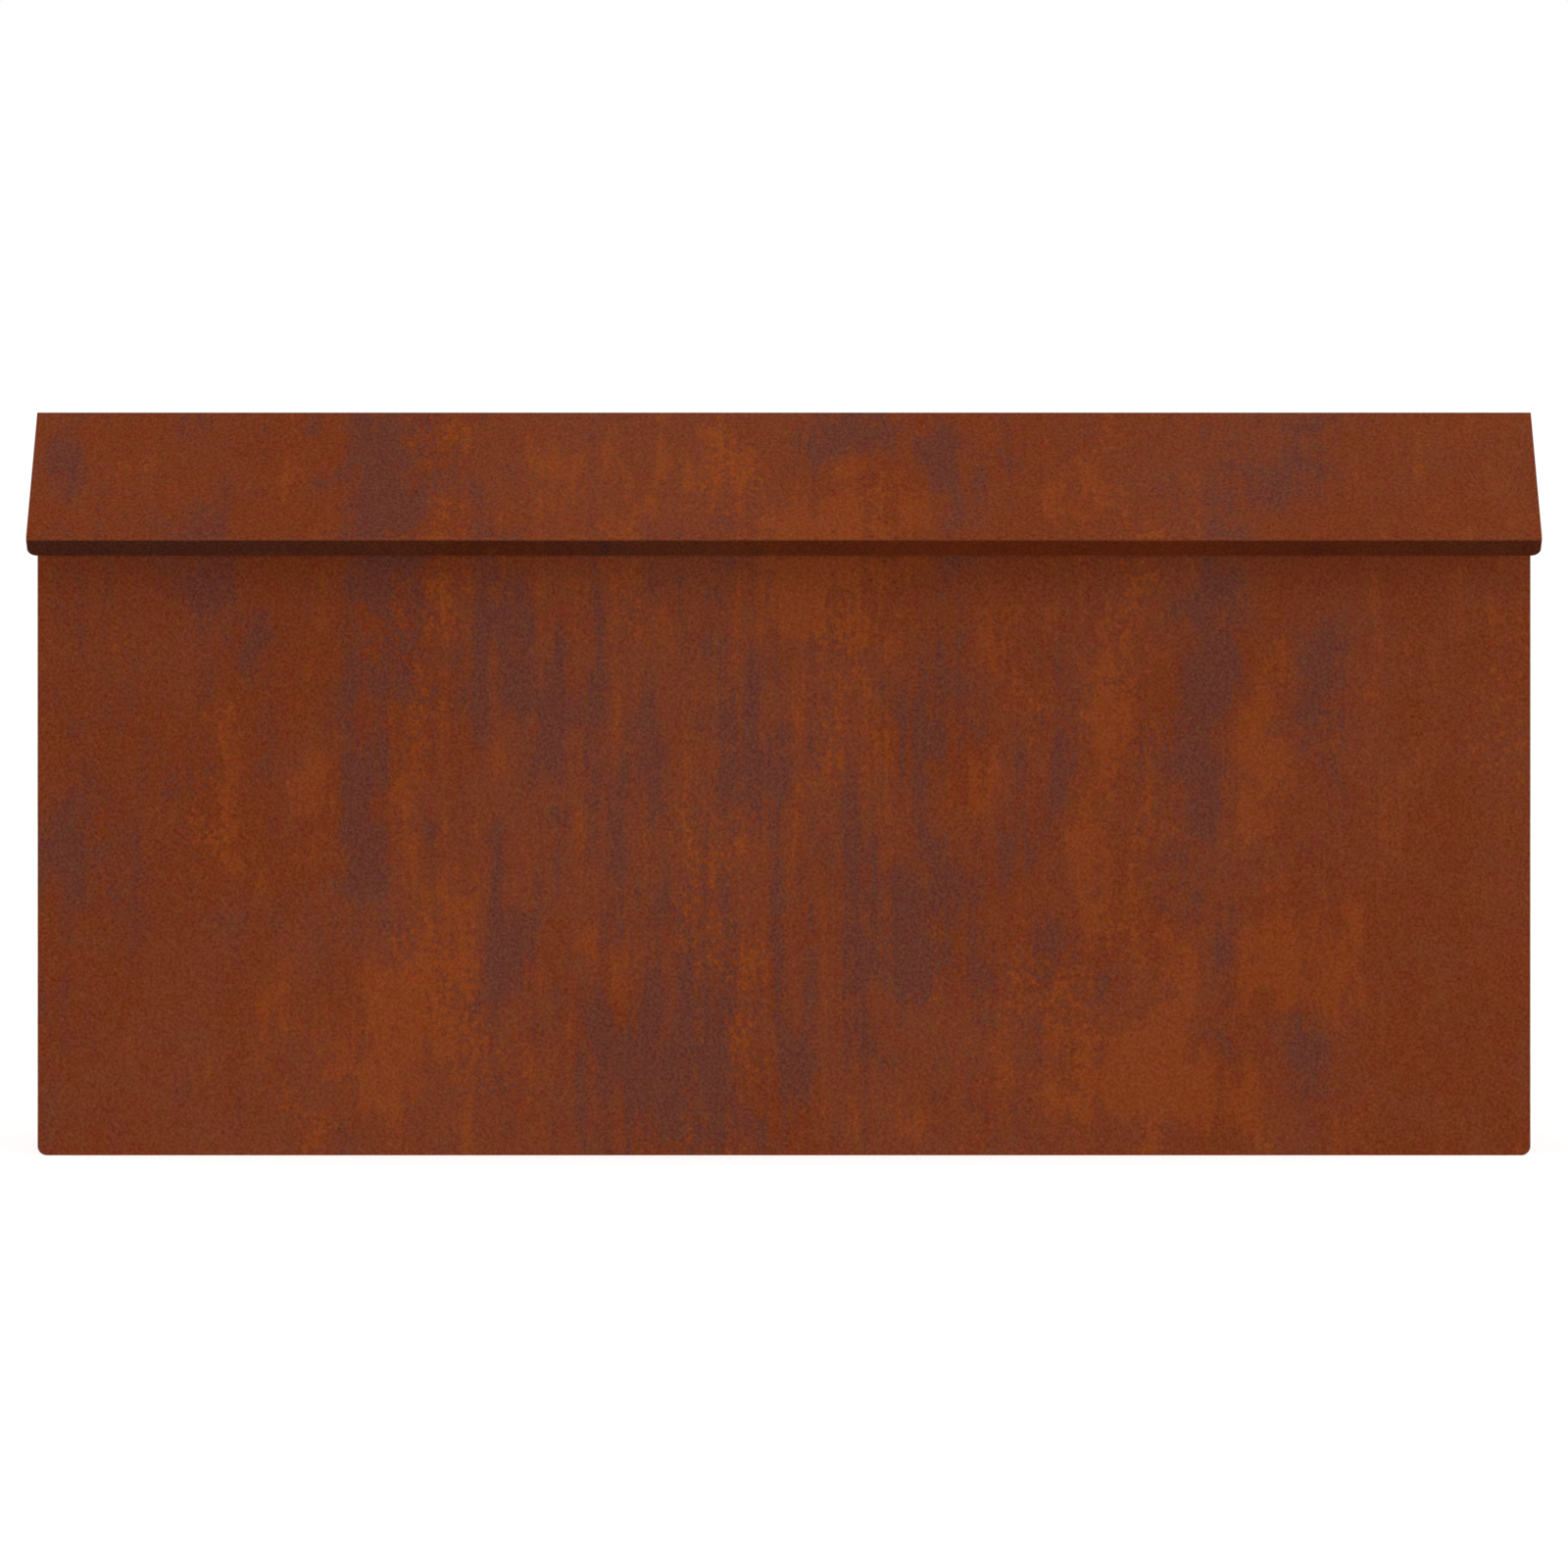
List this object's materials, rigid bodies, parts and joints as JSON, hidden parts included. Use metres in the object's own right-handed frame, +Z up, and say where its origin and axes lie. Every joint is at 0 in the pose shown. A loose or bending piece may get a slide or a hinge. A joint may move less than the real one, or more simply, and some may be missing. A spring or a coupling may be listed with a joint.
{
  "type": "planter box",
  "caption": "Long rectangular planter box of folded weathering steel with a sloping coping and return lip along each long side, a drained floor tray and screw-adjusted levelling feet.",
  "frame": {"origin": "on the ground, under the middle of the box", "axes": "+X along the box to the right, +Y from the front to the back, +Z up"},
  "size_m": [1.2, 0.6776, 0.597],
  "materials": {
    "weathering_steel": "matte",
    "galvanised_steel": "satin",
    "zinc_plated_steel": "satin",
    "sole_rubber": "matte"
  },
  "bodies": {
    "planter": {"front_panel": "weathering_steel", "back_panel": "weathering_steel", "left_end_panel": "weathering_steel", "right_end_panel": "weathering_steel", "front_coping_gussets": "weathering_steel", "back_coping_gussets": "weathering_steel", "front_stiffener": "weathering_steel", "back_stiffener": "weathering_steel", "cross_tie": "weathering_steel", "floor_tray": "galvanised_steel", "left_bearer": "galvanised_steel", "middle_bearer": "galvanised_steel", "right_bearer": "galvanised_steel", "left_front_lifting_bracket": "galvanised_steel", "left_back_lifting_bracket": "galvanised_steel", "right_front_lifting_bracket": "galvanised_steel", "right_back_lifting_bracket": "galvanised_steel", "front_weld_studs": "zinc_plated_steel", "back_weld_studs": "zinc_plated_steel", "front_stud_washers": "zinc_plated_steel", "back_stud_washers": "zinc_plated_steel", "front_stud_nuts": "zinc_plated_steel", "back_stud_nuts": "zinc_plated_steel", "tie_bolts": "zinc_plated_steel", "tie_washers": "zinc_plated_steel", "tie_weld_nuts": "zinc_plated_steel", "foot_weld_nuts": "zinc_plated_steel", "foot_lock_nuts": "zinc_plated_steel"},
    "left_front_foot": {"left_front_foot_pad": "zinc_plated_steel", "left_front_foot_sole": "sole_rubber"},
    "left_front_spindle": {"left_front_foot_spindle": "zinc_plated_steel"},
    "left_back_foot": {"left_back_foot_pad": "zinc_plated_steel", "left_back_foot_sole": "sole_rubber"},
    "left_back_spindle": {"left_back_foot_spindle": "zinc_plated_steel"},
    "right_front_foot": {"right_front_foot_pad": "zinc_plated_steel", "right_front_foot_sole": "sole_rubber"},
    "right_front_spindle": {"right_front_foot_spindle": "zinc_plated_steel"},
    "right_back_foot": {"right_back_foot_pad": "zinc_plated_steel", "right_back_foot_sole": "sole_rubber"},
    "right_back_spindle": {"right_back_foot_spindle": "zinc_plated_steel"}
  },
  "joints": [
    {"name": "left_front_foot_height", "type": "slide", "parent": "planter", "child": "left_front_foot", "axis": [0, 0, -1], "range_m": [0, 0.02]},
    {"name": "left_front_foot_turn", "type": "hinge", "parent": "left_front_foot", "child": "left_front_spindle", "pos_m": [-0.48, -0.19, 0.05], "axis": [0, 0, -1], "range_deg": [0, 4115]},
    {"name": "left_back_foot_height", "type": "slide", "parent": "planter", "child": "left_back_foot", "axis": [0, 0, -1], "range_m": [0, 0.02]},
    {"name": "left_back_foot_turn", "type": "hinge", "parent": "left_back_foot", "child": "left_back_spindle", "pos_m": [-0.48, 0.19, 0.05], "axis": [0, 0, -1], "range_deg": [0, 4115]},
    {"name": "right_front_foot_height", "type": "slide", "parent": "planter", "child": "right_front_foot", "axis": [0, 0, -1], "range_m": [0, 0.02]},
    {"name": "right_front_foot_turn", "type": "hinge", "parent": "right_front_foot", "child": "right_front_spindle", "pos_m": [0.48, -0.19, 0.05], "axis": [0, 0, -1], "range_deg": [0, 4115]},
    {"name": "right_back_foot_height", "type": "slide", "parent": "planter", "child": "right_back_foot", "axis": [0, 0, -1], "range_m": [0, 0.02]},
    {"name": "right_back_foot_turn", "type": "hinge", "parent": "right_back_foot", "child": "right_back_spindle", "pos_m": [0.48, 0.19, 0.05], "axis": [0, 0, -1], "range_deg": [0, 4115]}
  ],
  "couplings": [
    {"joint": "left_front_foot_turn", "follows": "left_front_foot_height", "rad_per_m": 3590.4},
    {"joint": "left_back_foot_turn", "follows": "left_back_foot_height", "rad_per_m": 3590.4},
    {"joint": "right_front_foot_turn", "follows": "right_front_foot_height", "rad_per_m": 3590.4},
    {"joint": "right_back_foot_turn", "follows": "right_back_foot_height", "rad_per_m": 3590.4}
  ]
}
